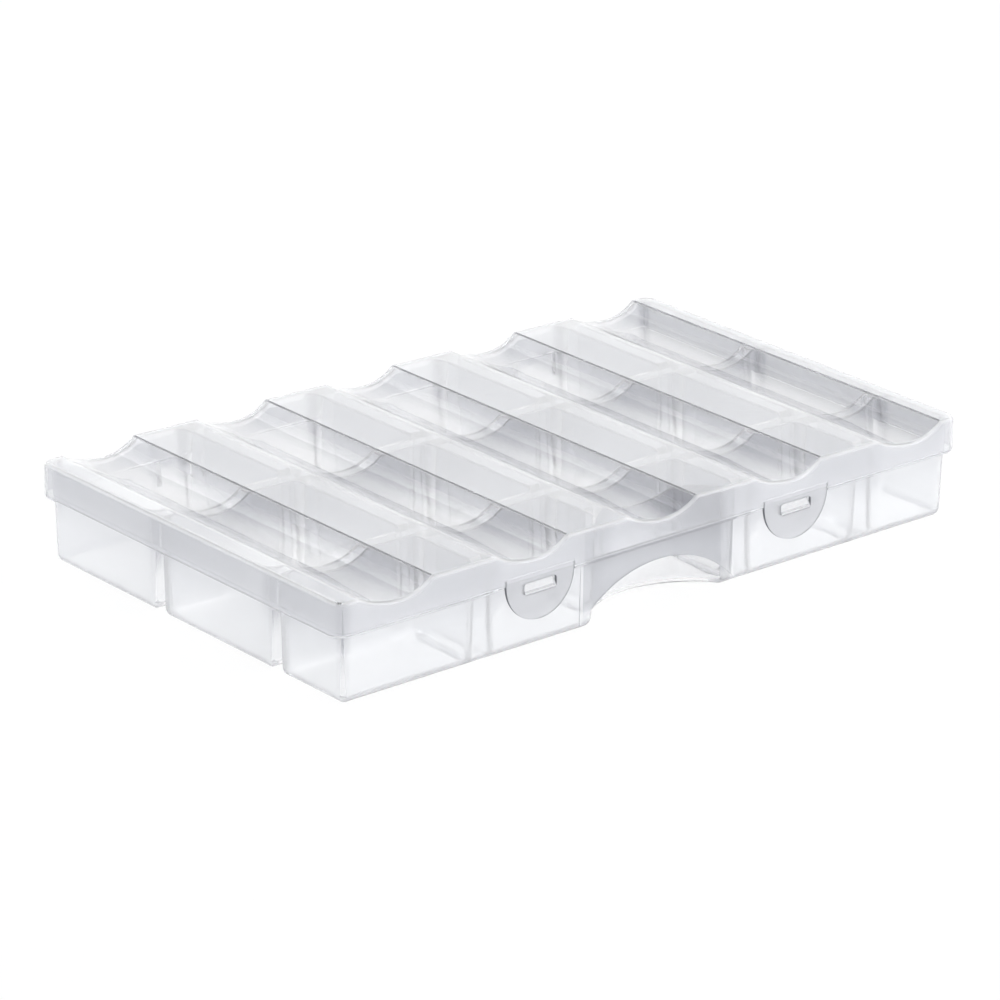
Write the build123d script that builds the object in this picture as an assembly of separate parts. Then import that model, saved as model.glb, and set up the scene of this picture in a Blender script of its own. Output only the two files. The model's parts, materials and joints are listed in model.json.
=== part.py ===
from build123d import *

import math
import os

# Lidded compartment box. Lengths are millimetres and angles are degrees.
# X runs along the box, Y from its front to its hinges and Z up.
# The origin is the middle of the underside that the box rests on.

# Lid
lid_length = 378.0
lid_depth = 226.0
lid_corner_radius = 8.0
lid_wall = 1.5
lid_panel_thickness = 1.5
skirt_bottom_height = 34.8
crest_height = 51.0
plateau_height = 50.4
scoop_low_height = 44.6

# Scoops of the lid's top, counted from its left end
pitch = 78.0
scoop_run = 42.0
scoop_fall_run = 24.0
first_scoop_margin = 12.5

# Base
base_end_gap = 2.6
base_side_gap = 1.0
base_wall = 1.6
floor_thickness = 1.6
base_draft = 1.5
base_lid_gap = 0.5
base_corner_radius = 6.0
groove_corner_radius = 3.0
base_edge_radius = 5.0
compartment_corner_radius = 6.0
compartment_edge_radius = 4.0
front_row_depth = 43.5
middle_row_depth = 79.6
row_divider_width = 7.6
column_divider_width = 9.4
column_divider_after_crest = 31.2
ledge_thickness = 1.3
ledge_inset = 0.4
closure_depth = 2.4

# Hand-hold at the middle of the front
hold_radius = 48.0
hold_depth = 20.0
hold_blend_radius = 6.6
hold_panel_thickness = 1.5
hold_panel_inset = 0.5
hold_arch_rise = 24.2
hold_arch_half_width = 49.8

# Latch tabs of the lid and the catches that they hold
tab_offset = 4.5
tab_radius = 20.0
tab_neck_height = 3.1
tab_slit = 0.4
ledge_notch_gap = 0.3
window_width = 18.9
window_height = 5.9
window_above_tab_tip = 13.0
catch_window_gap = 0.4
catch_reach = 0.2
catch_nose_height = 0.9

# Snap hinges at the rear
hinge_spacing = 220.0
hinge_axis_offset = 4.0
hinge_axis_height = 29.8
hinge_pin_radius = 1.5
hinge_pin_clearance = 0.08
hinge_eye_wall = 1.82
hinge_hook_width = 22.0
hinge_side_gap = 0.4
hinge_ear_width = 3.0
hinge_ear_root_height = 19.4
hinge_mouth_width = 2.5
hinge_arm_height = 11.6
hinge_arm_top_width = 3.5

# Reach of cutting blocks past what they cut
overrun = 5.0

# Blends of the hand-hold stay under this share of the shortest edge beside them
blend_share = 0.36

# Points nearer than this are one point
same_point = 0.01

# Places worked out from the sizes above
lid_half_length = lid_length / 2
lid_half_depth = lid_depth / 2
base_half_length = lid_half_length - lid_wall - base_end_gap
base_half_depth = lid_half_depth - lid_wall - base_side_gap
inner_half_length = base_half_length - base_wall
inner_front = -(base_half_depth - base_wall)
inner_rear = base_half_depth - base_wall
middle_front = inner_front + front_row_depth + row_divider_width
rear_front = middle_front + middle_row_depth + row_divider_width
draw_height = crest_height + overrun
base_top_drop = lid_panel_thickness + base_lid_gap
ledge_bottom = skirt_bottom_height - ledge_thickness
first_scoop_x = first_scoop_margin - lid_half_length
last_scoop_room = lid_length - first_scoop_margin - scoop_run
scoop_count = int(last_scoop_room // pitch) + 1
scoop_starts = [first_scoop_x + index * pitch for index in range(scoop_count)]
divider_places = [
    start + scoop_run + column_divider_after_crest for start in scoop_starts[:-1]
]
hold_centre_y = -base_half_depth + hold_depth - hold_radius
hinge_axis_y = lid_half_depth + hinge_axis_offset
hinge_eye_radius = hinge_pin_radius + hinge_pin_clearance + hinge_eye_wall
hinge_places = {"left": -hinge_spacing / 2, "right": hinge_spacing / 2}
tab_places = {"left": tab_offset - pitch, "right": tab_offset + pitch}
tab_tip_height = skirt_bottom_height - tab_radius
tab_top_height = skirt_bottom_height + tab_neck_height
window_bottom = tab_tip_height + window_above_tab_tip
window_top = window_bottom + window_height


def draft_shift(height):
    """How far a drafted wall moves sideways over a height."""
    return height * math.tan(math.radians(base_draft))


def block(x_low, x_high, y_low, y_high, z_low, z_high):
    """Plain block between two corners."""
    centre = Pos((x_low + x_high) / 2, (y_low + y_high) / 2, (z_low + z_high) / 2)
    return centre * Box(x_high - x_low, y_high - y_low, z_high - z_low)


def upright_slab(half_length, half_depth, corner_radius, z_low, z_high):
    """Slab about the origin with rounded upright corners."""
    outline = RectangleRounded(2 * half_length, 2 * half_depth, corner_radius)
    return extrude(Pos(0, 0, z_low) * outline, amount=z_high - z_low)


def under_wave(drop, half_depth):
    """Everything under the lid's top line when that is lowered by drop."""
    left = -lid_half_length - overrun
    right = lid_half_length + overrun
    floor = -overrun
    here = (left, 0, plateau_height - drop)
    edges = [Line((left, 0, floor), here)]
    for start_x in scoop_starts:
        start = (start_x, 0, plateau_height - drop)
        low = (start_x + scoop_fall_run, 0, scoop_low_height - drop)
        crest = (start_x + scoop_run, 0, crest_height - drop)
        edges.append(Line(here, start))
        edges.append(TangentArc(low, start, tangent=(-1, 0, 0)))
        edges.append(TangentArc(low, crest, tangent=(1, 0, 0)))
        here = crest
    edges.append(Line(here, (right, 0, crest_height - drop)))
    edges.append(Line((right, 0, crest_height - drop), (right, 0, floor)))
    edges.append(Line((right, 0, floor), (left, 0, floor)))
    section = Pos(0, -half_depth, 0) * Face(Wire(edges))
    return extrude(section, amount=2 * half_depth, dir=(0, 1, 0))


def outline_from_below(x_low, x_high, y_low, y_high):
    """Rectangle as seen from below, so its Y is turned round."""
    centre = Pos((x_low + x_high) / 2, -(y_low + y_high) / 2)
    return centre * Rectangle(x_high - x_low, y_high - y_low)


def drawn_down(outline, top_height, bottom_height):
    """Solid that narrows downwards by the draft, from an outline seen from below."""
    blank = extrude(outline, amount=top_height - bottom_height, taper=base_draft)
    return Pos(0, 0, top_height) * Rot(180, 0, 0) * blank


def round_bottom(solid, radius):
    """The solid with the edges of its lowest face rounded."""
    lowest = solid.faces().sort_by(Axis.Z)[0]
    return fillet(lowest.edges(), radius)


def hold_core():
    """Round core that keeps a compartment one wall clear of the hand-hold."""
    top_radius = hold_radius + base_wall
    foot_radius = top_radius + draft_shift(draw_height - floor_thickness)
    rim_radius = foot_radius + 2 * compartment_edge_radius
    corner = (foot_radius, 0, floor_thickness)
    profile = Polyline(
        (0, 0, 0),
        (rim_radius, 0, 0),
        (rim_radius, 0, floor_thickness),
        corner,
        (top_radius, 0, draw_height),
        (0, 0, draw_height),
        close=True,
    )
    half_section = Face(Wire(profile.edges()))
    foot = [v for v in half_section.vertices() if v.distance_to(Vertex(*corner)) < same_point]
    return Pos(0, hold_centre_y, 0) * revolve(fillet(foot, compartment_edge_radius), Axis.Z)


def corners_of(outline, plain, wanted):
    """Vertices of an outline that are corners of the plain one, or the other ones."""
    return [
        v for v in outline.vertices()
        if any(v.distance_to(p) < same_point for p in plain) == wanted
    ]


def without_hold(outline):
    """The outline less the hand-hold's circle, with its new corners blended."""
    plain = outline.vertices()
    cut = outline - Pos(0, -hold_centre_y) * Circle(hold_radius)
    shortest = min(edge.length for edge in cut.edges())
    radius = min(hold_blend_radius, blend_share * shortest)
    return fillet(corners_of(cut, plain, False), radius)


def trough_blank(y_low, y_high, front_radius, rear_radius, has_hold):
    """Outside of one row of compartments, as a filled block."""
    outline = outline_from_below(-base_half_length, base_half_length, y_low, y_high)
    plain = outline.vertices()
    if has_hold:
        outline = without_hold(outline)
    middle_y = -(y_low + y_high) / 2
    for is_front, radius in ((True, front_radius), (False, rear_radius)):
        corners = corners_of(outline, plain, True)
        outline = fillet([v for v in corners if (v.Y > middle_y) == is_front], radius)
    return round_bottom(drawn_down(outline, draw_height, 0), base_edge_radius)


def compartments(y_low, y_high, has_hold):
    """Hollow of each compartment in one row, from left to right."""
    half_width = column_divider_width / 2
    lefts = [-inner_half_length] + [x + half_width for x in divider_places]
    rights = [x - half_width for x in divider_places] + [inner_half_length]
    hollows = []
    for x_low, x_high in zip(lefts, rights):
        outline = outline_from_below(x_low, x_high, y_low, y_high)
        outline = fillet(outline.vertices(), compartment_corner_radius)
        hollow = drawn_down(outline, draw_height, floor_thickness)
        hollow = round_bottom(hollow, compartment_edge_radius)
        hollows.append(hollow - hold_core() if has_hold else hollow)
    return hollows


def divider_pockets(y_low, y_high, has_hold):
    """Gap inside each column divider, open from below and narrowing upwards."""
    half_gap = column_divider_width / 2 - base_wall + draft_shift(draw_height)
    low = y_low + base_edge_radius
    high = y_high - base_edge_radius
    top = under_wave(base_top_drop + base_wall, lid_half_depth)
    pockets = []
    for x in divider_places:
        outline = Pos(x, (low + high) / 2) * Rectangle(2 * half_gap, high - low)
        if has_hold:
            reach = hold_radius + base_wall + base_edge_radius
            outline = outline - Pos(0, hold_centre_y) * Circle(reach)
        pockets.append(extrude(outline, amount=draw_height, taper=base_draft) & top)
    return pockets


def row_of_compartments(row, y_low, y_high, front_radius, rear_radius, has_hold):
    """Trough of one row and its column dividers, as named solids."""
    blank = trough_blank(
        y_low - base_wall, y_high + base_wall, front_radius, rear_radius, has_hold
    )
    shell = blank & under_wave(base_top_drop, lid_half_depth)
    shell = shell - compartments(y_low, y_high, has_hold)
    shell = shell - divider_pockets(y_low, y_high, has_hold)
    reach = column_divider_width / 2 + compartment_corner_radius + draft_shift(draw_height)
    pieces = {}
    for number, x in enumerate(divider_places, start=1):
        room = block(x - reach, x + reach, y_low, y_high, floor_thickness, draw_height)
        pieces[f"{row}_divider_{number}"] = shell & room
        shell = shell - room
    pieces[f"{row}_trough"] = shell
    return pieces, blank


def row_divider(y_low, y_high, blanks):
    """Bridge over the gap between two troughs, with a closed end each side."""
    gap = block(
        -base_half_length, base_half_length, y_low - overrun, y_high + overrun,
        skirt_bottom_height, draw_height,
    )
    outside = under_wave(base_top_drop, lid_half_depth) & gap
    inner_length = base_half_length - closure_depth
    inside = under_wave(base_top_drop + base_wall, lid_half_depth) & block(
        -inner_length, inner_length, y_low - overrun, y_high + overrun, 0, draw_height
    )
    closure_room = block(
        -base_half_length, base_half_length,
        y_low - groove_corner_radius, y_high + groove_corner_radius, 0, draw_height,
    )
    return (outside - inside - blanks) & closure_room


def rim_ledge(blanks):
    """Ledge round the base that the lid's skirt rests on, notched for the tabs."""
    outside = upright_slab(
        lid_half_length - ledge_inset, lid_half_depth - ledge_inset,
        lid_corner_radius - ledge_inset, ledge_bottom, skirt_bottom_height,
    )
    inside = upright_slab(
        base_half_length - closure_depth, base_half_depth - hold_panel_depth(),
        base_corner_radius, ledge_bottom, skirt_bottom_height,
    )
    ledge = outside - inside - blanks
    notch_front = -lid_half_depth - overrun
    notch_rear = -lid_half_depth + lid_wall + ledge_notch_gap
    notch_half_width = tab_radius + 2 * tab_slit
    for x in tab_places.values():
        ledge = ledge - block(
            x - notch_half_width, x + notch_half_width, notch_front, notch_rear,
            0, draw_height,
        )
    return ledge


def hold_panel_depth():
    """Depth from the base's front to the back of the hand-hold's panel."""
    return hold_panel_inset + hold_panel_thickness


def hand_hold_panel(front_blank):
    """Thin front panel over the hand-hold, with an arch to reach under."""
    front = -base_half_depth + hold_panel_inset
    rear = front + hold_panel_thickness
    half_width = math.sqrt(hold_radius**2 - (hold_radius - hold_depth) ** 2)
    half_width = half_width + hold_blend_radius
    panel = block(-half_width, half_width, front, rear, 0, ledge_bottom)
    arch_radius = (hold_arch_half_width**2 + hold_arch_rise**2) / (2 * hold_arch_rise)
    arch_centre = hold_arch_rise - arch_radius
    arch = Pos(0, front, arch_centre) * Rot(90, 0, 0) * Cylinder(arch_radius, 2 * overrun)
    return panel - arch - front_blank


def catch(x, front_blank):
    """Wedge on the base's front wall, with its slope upwards."""
    half_width = window_width / 2 - catch_window_gap
    low = window_bottom + catch_window_gap
    nose_y = -lid_half_depth - catch_reach
    root_y = -base_half_depth + overrun
    wall_y = -base_half_depth
    profile = Polyline(
        (0, root_y, low),
        (0, nose_y, low),
        (0, nose_y, low + catch_nose_height),
        (0, wall_y, window_top - catch_window_gap),
        (0, root_y, window_top - catch_window_gap),
        close=True,
    )
    section = Pos(x - half_width, 0, 0) * Face(Wire(profile.edges()))
    return extrude(section, amount=2 * half_width, dir=(1, 0, 0)) - front_blank


def along_x(points, x_low, x_high):
    """Solid with a Y-Z outline, drawn out along X."""
    outline = Polyline(*[(0, y, z) for y, z in points], close=True)
    section = Pos(x_low, 0, 0) * Face(Wire(outline.edges()))
    return extrude(section, amount=x_high - x_low, dir=(1, 0, 0))


def hinge_rod(radius, x_low, x_high):
    """Round rod on the hinge axis."""
    centre = Pos((x_low + x_high) / 2, hinge_axis_y, hinge_axis_height)
    return centre * Rot(0, 90, 0) * Cylinder(radius, x_high - x_low)


def hinge_lug(x, rear_blank):
    """Two ears on the base's rear wall with a round bar between them."""
    hook_half = hinge_hook_width / 2 + hinge_side_gap
    ear_radius = hinge_eye_radius
    root_y = base_half_depth - overrun
    ear_outline = [
        (root_y, hinge_ear_root_height),
        (root_y, hinge_axis_height + ear_radius),
        (hinge_axis_y, hinge_axis_height + ear_radius),
        (hinge_axis_y + ear_radius, hinge_axis_height),
        (hinge_axis_y, hinge_axis_height - ear_radius),
    ]
    lug = hinge_rod(hinge_pin_radius, x - hook_half, x + hook_half)
    for x_low in (x - hook_half - hinge_ear_width, x + hook_half):
        x_high = x_low + hinge_ear_width
        lug = lug + along_x(ear_outline, x_low, x_high)
        lug = lug + hinge_rod(ear_radius, x_low, x_high)
    return lug - rear_blank


def hinge_hook(x):
    """C-shaped hook that hangs from the lid's rear skirt and snaps on the bar."""
    x_low = x - hinge_hook_width / 2
    x_high = x + hinge_hook_width / 2
    skirt_y = lid_half_depth
    arm_top = skirt_bottom_height + hinge_arm_height
    arm = along_x(
        [
            (skirt_y, arm_top),
            (skirt_y, skirt_bottom_height),
            (hinge_axis_y - hinge_eye_radius, hinge_axis_height),
            (hinge_axis_y + hinge_eye_radius, hinge_axis_height),
            (hinge_axis_y + hinge_eye_radius, skirt_bottom_height),
            (skirt_y + hinge_arm_top_width, arm_top),
        ],
        x_low,
        x_high,
    )
    eye = hinge_rod(hinge_eye_radius, x_low, x_high)
    bore = hinge_rod(hinge_pin_radius + hinge_pin_clearance, x_low, x_high)
    mouth = block(
        x_low, x_high,
        hinge_axis_y - hinge_mouth_width / 2, hinge_axis_y + hinge_mouth_width / 2,
        hinge_axis_height - hinge_eye_radius - overrun, hinge_axis_height,
    )
    return arm + eye - bore - mouth


def latch_tab(x):
    """Round-ended tongue of the front skirt with a window for the catch."""
    front = -lid_half_depth
    rear = front + lid_wall
    round_end = Pos(x, (front + rear) / 2, skirt_bottom_height) * Rot(90, 0, 0)
    disc = round_end * Cylinder(tab_radius, lid_wall)
    lower = block(x - tab_radius, x + tab_radius, front, rear, 0, skirt_bottom_height)
    neck = block(
        x - tab_radius, x + tab_radius, front, rear, skirt_bottom_height, tab_top_height
    )
    window = block(
        x - window_width / 2, x + window_width / 2, front, rear, window_bottom, window_top
    )
    return (disc & lower) + neck - window


def lid_skirt():
    """Wall of the lid, with its top along the wave and an opening for each tab."""
    outside = upright_slab(
        lid_half_length, lid_half_depth, lid_corner_radius, skirt_bottom_height, draw_height
    )
    skirt = (outside & under_wave(0, lid_half_depth)) - lid_inside()
    for x in tab_places.values():
        half_width = tab_radius + tab_slit
        skirt = skirt - block(
            x - half_width, x + half_width,
            -lid_half_depth - overrun, -lid_half_depth + lid_wall + overrun,
            0, tab_top_height,
        )
    return skirt


def lid_inside():
    """Space inside the lid's walls, as a tall block."""
    return upright_slab(
        lid_half_length - lid_wall, lid_half_depth - lid_wall,
        lid_corner_radius - lid_wall, 0, draw_height,
    )


def lid_panel():
    """Wavy sheet that closes the top between the skirt's walls."""
    below = under_wave(lid_panel_thickness, lid_half_depth + overrun)
    return (under_wave(0, lid_half_depth) - below) & lid_inside()


def build_base():
    """All solids of the base, by name."""
    rows = [
        ("front", inner_front, middle_front - row_divider_width,
         base_corner_radius, groove_corner_radius, True),
        ("middle", middle_front, rear_front - row_divider_width,
         groove_corner_radius, groove_corner_radius, False),
        ("rear", rear_front, inner_rear,
         groove_corner_radius, base_corner_radius, False),
    ]
    pieces = {}
    blanks = []
    for row in rows:
        solids, blank = row_of_compartments(*row)
        pieces.update(solids)
        blanks.append(blank)
    pieces["front_row_divider"] = row_divider(
        middle_front - row_divider_width, middle_front, blanks
    )
    pieces["rear_row_divider"] = row_divider(
        rear_front - row_divider_width, rear_front, blanks
    )
    pieces["rim_ledge"] = rim_ledge(blanks)
    pieces["hand_hold_panel"] = hand_hold_panel(blanks[0])
    for side, x in tab_places.items():
        pieces[f"{side}_catch"] = catch(x, blanks[0])
    for side, x in hinge_places.items():
        pieces[f"{side}_hinge_lug"] = hinge_lug(x, blanks[-1])
    return pieces


def build_lid():
    """All solids of the lid and its two tabs, by name."""
    pieces = {"lid_panel": lid_panel(), "lid_skirt": lid_skirt()}
    for side, x in hinge_places.items():
        pieces[f"{side}_hinge_hook"] = hinge_hook(x)
    for side, x in tab_places.items():
        pieces[f"{side}_tab"] = latch_tab(x)
    return pieces


os.makedirs("parts", exist_ok=True)
for name, solid in {**build_base(), **build_lid()}.items():
    export_step(solid, f"parts/{name}.step")
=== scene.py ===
"""Lidded compartment box of milky clear plastic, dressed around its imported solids.

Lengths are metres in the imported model's frame: X along the box, Y from its front to its hinges,
Z up, with the origin in the middle of the underside.
"""

import json
import math

import bmesh
import bpy
import numpy as np
from mathutils import Euler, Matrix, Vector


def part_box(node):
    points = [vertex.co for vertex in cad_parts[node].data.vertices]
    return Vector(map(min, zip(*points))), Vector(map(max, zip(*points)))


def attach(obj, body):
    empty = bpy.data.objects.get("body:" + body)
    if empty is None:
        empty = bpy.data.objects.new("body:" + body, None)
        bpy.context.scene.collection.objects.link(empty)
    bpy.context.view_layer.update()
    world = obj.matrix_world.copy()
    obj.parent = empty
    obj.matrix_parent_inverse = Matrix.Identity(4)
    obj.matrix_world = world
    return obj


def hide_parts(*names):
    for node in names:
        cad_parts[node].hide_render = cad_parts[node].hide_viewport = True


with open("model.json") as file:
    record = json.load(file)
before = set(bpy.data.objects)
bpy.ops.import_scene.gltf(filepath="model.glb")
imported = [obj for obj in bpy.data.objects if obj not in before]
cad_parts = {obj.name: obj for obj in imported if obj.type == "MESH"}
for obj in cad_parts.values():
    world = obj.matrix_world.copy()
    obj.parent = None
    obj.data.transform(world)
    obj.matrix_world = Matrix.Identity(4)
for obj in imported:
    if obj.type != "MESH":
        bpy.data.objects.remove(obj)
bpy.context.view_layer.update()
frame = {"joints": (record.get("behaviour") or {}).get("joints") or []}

bl_info = {
    "name": "Compartment storage box",
    "version": (1, 0, 0),
    "blender": (4, 5, 0),
    "location": "3D View > Sidebar > Storage box",
    "description": "Clear plastic compartment box with a wavy hinged lid and two latch tabs",
    "category": "Add Mesh",
}

MM = 0.001
SIDES = ("left", "right")
SKIRT_LOW, SKIRT_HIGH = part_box("lid_skirt")
LEDGE_LOW, LEDGE_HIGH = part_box("rim_ledge")
PANEL_LOW, PANEL_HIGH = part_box("hand_hold_panel")
TAB_BOXES = [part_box(f"{side}_tab") for side in SIDES]

# Fineness of round stretches and of long plain ones
CORNER_STEPS = 8
EDGE_STEPS = 5
SCOOP_STEPS = 14
ROWS = 6
ROUND_STEPS = 96
SMOOTH_ANGLE = math.radians(24)
MERGE_DISTANCE = 2e-6
LEAST_RADIUS = 0.6 * MM
OVERRUN = 5 * MM

# Heights of the rings on the walls outside and inside, and the height whose draft the deck takes
OUTER_RINGS = np.array([40, 30, 20, 10]) * MM
INNER_RINGS = np.array([34, 24, 14]) * MM
DECK_DRAFT = 46 * MM

# Turns at which the rounded mouth and the hand-hold core's flare end
MOUTH_TURN = math.radians(75)
FLARE_TURN = math.radians(84)

# Small shapes of tabs, hooks, catches, ledge and bridges
TAB_BEVEL = 0.3
HOOK_BORE = 1.05
HOOK_MOUTH = 1.25 * MM
CATCH_ROOT = 1.2 * MM
CATCH_NOSE = 0.9 * MM
CATCH_STEP = 0.2 * MM
LEDGE_EDGE = 0.3 * MM
NOTCH_GAP = 0.3 * MM
BRIDGE_DROP = 0.02 * MM
CORE_FOOT = 0.1 * MM

# A look through the whole box crosses many walls
LIGHT_BOUNCES = 40
GLOSSY_BOUNCES = 12
SHADOW_CLEARNESS = 0.93

# Plastic: its refraction, and its unevenness by size, detail, strength, depth and gloss
PLASTIC_IOR = 1.49
WAVE_SCALE = 90.0
WAVE_DETAIL = 3.0
WAVE_STRENGTH = 0.12
WAVE_DEPTH = 0.2 * MM
WAVE_RANGE = (0.3, 0.7)
GLOSS_RANGE = (0.8, 1.2)

# Places of a mix node's colour sockets
COLOUR_A = 6
COLOUR_B = 7
COLOUR_RESULT = 2

# Ramps on how much of a face points along an axis. Those that end in 1, 0 fall.
UPRIGHT = (0.2, 0.95, 1.0, 0.0)
EDGE_ON = (0.5, 0.95, 1.0, 0.0)
FALLING = (0.05, 0.3)
RISING = (-0.5, -0.3, 1.0, 0.0)
TURNED = (0.1, 0.5)
ROUNDED = (0.15, 0.3)
NOT_LEVEL = (0.7, 0.85, 1.0, 0.0)
TURNED_IN = (0.85, 0.97, 1.0, 0.0)

# Heights that the ramps of the painted shade on the base's walls, mouths and hand-hold panel lie
# between
WALL_SHADE_FADE = (12 * MM, 42 * MM)
MOUTH_SHADE_FADE = (32 * MM, 36 * MM)
PANEL_SHADE_FADE = (3 * MM, 14 * MM)

# Widths of the lid's ramps below and above its plateau, the one above for the crests' painted
# shade, and of small steps, and the share of the foot's rounding whose painted shade is darkest
START_FROM = 6 * MM
START_TO = 1.5 * MM
FLAT_FADE = 0.4 * MM
CREST_SHADE_FADE = 0.3 * MM
HINGE_LINE = 0.5 * MM
PANEL_SHADE_REACH = 0.1 * MM
FOOT_SHADE_FROM = 0.3

# The base's outer walls, as seen by its plastic, lie within this of its outside
SKIN = 1.9 * MM

# Surroundings: strength straight above, and the upward shares that the change lies between
OVERHEAD = 0.35
OVERHEAD_FROM = 0.35
OVERHEAD_TO = 0.85
WORLD_LIGHT = 0.75
WORLD_COLOUR = (0.95, 0.97, 1, 1)
FLOOR_REACH = 6.0
FLOOR_DROP = 0.2 * MM
FLOOR_COLOUR = (0.9, 0.9, 0.9, 1)
FLOOR_GLOW = 0.88
LAMP_SIZE = 1.2
LAMPS = (("key_lamp", (0.9, -0.9, 1.5), 22.0), ("fill_lamp", (-0.1, 1.3, 1.3), 8.0))

# Camera: place, degrees round from the front, degrees down, and roll in radians
CAMERA_PLACE = (-1.4582, -1.7326, 0.9059)
CAMERA_ROUND = 40.03
CAMERA_DOWN = 21.38
CAMERA_ROLL = 0.0096
CAMERA_LENS = 185.0
CAMERA_SENSOR = 36.0

# Compartment rows from front to rear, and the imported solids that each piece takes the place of
ROW_NAMES = ("front", "middle", "rear")
CATCHES = [f"{side}_catch" for side in SIDES]
HOOKS = [f"{side}_hinge_hook" for side in SIDES]
LUGS = [f"{side}_hinge_lug" for side in SIDES]
BASE_NODES = [f"{row}_trough" for row in ROW_NAMES]
BASE_NODES += [f"{row}_divider_{number}" for row in ROW_NAMES for number in range(1, 5)]
BASE_NODES += ["front_row_divider", "rear_row_divider", "rim_ledge", "hand_hold_panel"]
BASE_NODES += CATCHES + LUGS
LID_NODES = ["lid_panel", "lid_skirt"] + HOOKS


def length(name, description, default):
    """Length property in metres."""
    return bpy.props.FloatProperty(
        name=name, description=description, default=default, unit="LENGTH", precision=5
    )


def share(name, description, default):
    """Share from 0 to 1."""
    return bpy.props.FloatProperty(
        name=name, description=description, default=default, min=0, max=1, subtype="FACTOR"
    )


def tint(name, description, default):
    """Colour of a plastic, or of painted shade laid on it."""
    return bpy.props.FloatVectorProperty(
        name=name, description=description, default=default, min=0, max=1, size=3,
        subtype="COLOR",
    )


class LidSizes(bpy.types.PropertyGroup):
    """Sizes of the lid and its tabs."""

    half_length: length("Half length", "Half of the lid's length", SKIRT_HIGH.x)
    half_depth: length("Half depth", "Half of the lid's depth", -SKIRT_LOW.y)
    corner_radius: length("Corner radius", "Radius of the lid's upright corners", 8 * MM)
    wall: length("Wall", "Thickness of the lid's sheet", 1.5 * MM)
    rim_radius: length("Rim radius", "Rounding between the lid's top and its skirt", 2.4 * MM)
    inner_rim_radius: length("Inner rim radius", "Rounding inside the lid's top edge", 0.9 * MM)
    lip_radius: length("Lip radius", "Rounding of the skirt's lower edge", 0.3 * MM)
    skirt_bottom: length("Skirt bottom", "Height of the skirt's lower edge", SKIRT_LOW.z)
    crest: length("Crest", "Height of the crests", SKIRT_HIGH.z)
    plateau: length("Plateau", "Height where a scoop starts", 50.4 * MM)
    scoop_low: length("Scoop low", "Height of a scoop's lowest line", 44.6 * MM)
    pitch: length("Pitch", "Distance from one scoop to the next", 78 * MM)
    scoop_run: length("Scoop run", "Length of a scoop", 42 * MM)
    scoop_fall: length("Scoop fall", "Run from a scoop's start to its lowest line", 24 * MM)
    first_margin: length("First margin", "Lid's left end to the first scoop", 12.5 * MM)
    scoops: bpy.props.IntProperty(name="Scoops", description="Number of scoops", default=5)
    tab_radius: length("Tab radius", "Radius of a tab's round end", 20 * MM)
    tab_slit: length("Tab slit", "Gap beside a tab", 0.4 * MM)
    tab_edge: length("Tab edge", "Rounding of a tab's edge", 0.35 * MM)
    window_width: length("Window width", "Width of a tab's window", 18.9 * MM)
    window_height: length("Window height", "Height of a tab's window", 5.9 * MM)
    window_above_tip: length("Window above tip", "Tab's tip to its window", 13 * MM)
    window_radius: length("Window radius", "Corner radius of a tab's window", 1.2 * MM)


class BaseSizes(bpy.types.PropertyGroup):
    """Sizes of the base."""

    end_gap: length("End gap", "Room between the skirt and the base's end", 2.6 * MM)
    side_gap: length("Side gap", "Room between the skirt and the base's side", 1.0 * MM)
    wall: length("Wall", "Thickness of the base's walls and floor", 1.6 * MM)
    draft: bpy.props.FloatProperty(
        name="Draft", description="Lean of the upright walls", default=math.radians(1.5),
        subtype="ANGLE",
    )
    draw_height: length("Draw height", "Height at which the plan sizes hold", 56 * MM)
    below_lid: length("Below lid", "Lid's top line down to the base's top", 2.0 * MM)
    corner_radius: length("Corner radius", "Radius of the base's outer corners", 6 * MM)
    groove_radius: length("Groove radius", "Radius of the corners beside a groove", 3 * MM)
    edge_radius: length("Edge radius", "Rounding round the underside", 5 * MM)
    pocket_radius: length("Compartment radius", "Upright corners of a compartment", 6 * MM)
    floor_radius: length("Floor radius", "Rounding round a compartment's floor", 4 * MM)
    mouth_radius: length("Mouth radius", "Rounding of a compartment's upper edge", 0.8 * MM)
    front_row: length("Front row", "Depth of the front compartments", 43.5 * MM)
    middle_row: length("Middle row", "Depth of the middle compartments", 79.6 * MM)
    row_divider: length("Row divider", "Width of a row divider", 7.6 * MM)
    column_divider: length("Column divider", "Width of a column divider", 9.4 * MM)
    after_crest: length("After crest", "Crest to the middle of a column divider", 31.2 * MM)
    ledge_inset: length("Ledge inset", "Lid's outside to the ledge's edge", 0.4 * MM)
    closure: length("Closure", "Thickness of the wall that ends a row divider", 1.7 * MM)
    hold_radius: length("Hold radius", "Radius of the hand-hold's curved wall", 48 * MM)
    hold_depth: length("Hold depth", "Depth of the hand-hold", 20 * MM)
    hold_blend: length("Hold blend", "Rounding beside the hand-hold", 6.6 * MM)
    arch_rise: length("Arch rise", "Height of the hand-hold's arch", 24.2 * MM)
    arch_half_width: length("Arch half width", "Half of the arch's chord at the floor", 49.8 * MM)
    ear_width: length("Ear width", "Width of a hinge ear", 3 * MM)
    pin_radius: length("Pin radius", "Radius of the hinge bars", 1.5 * MM)


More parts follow.
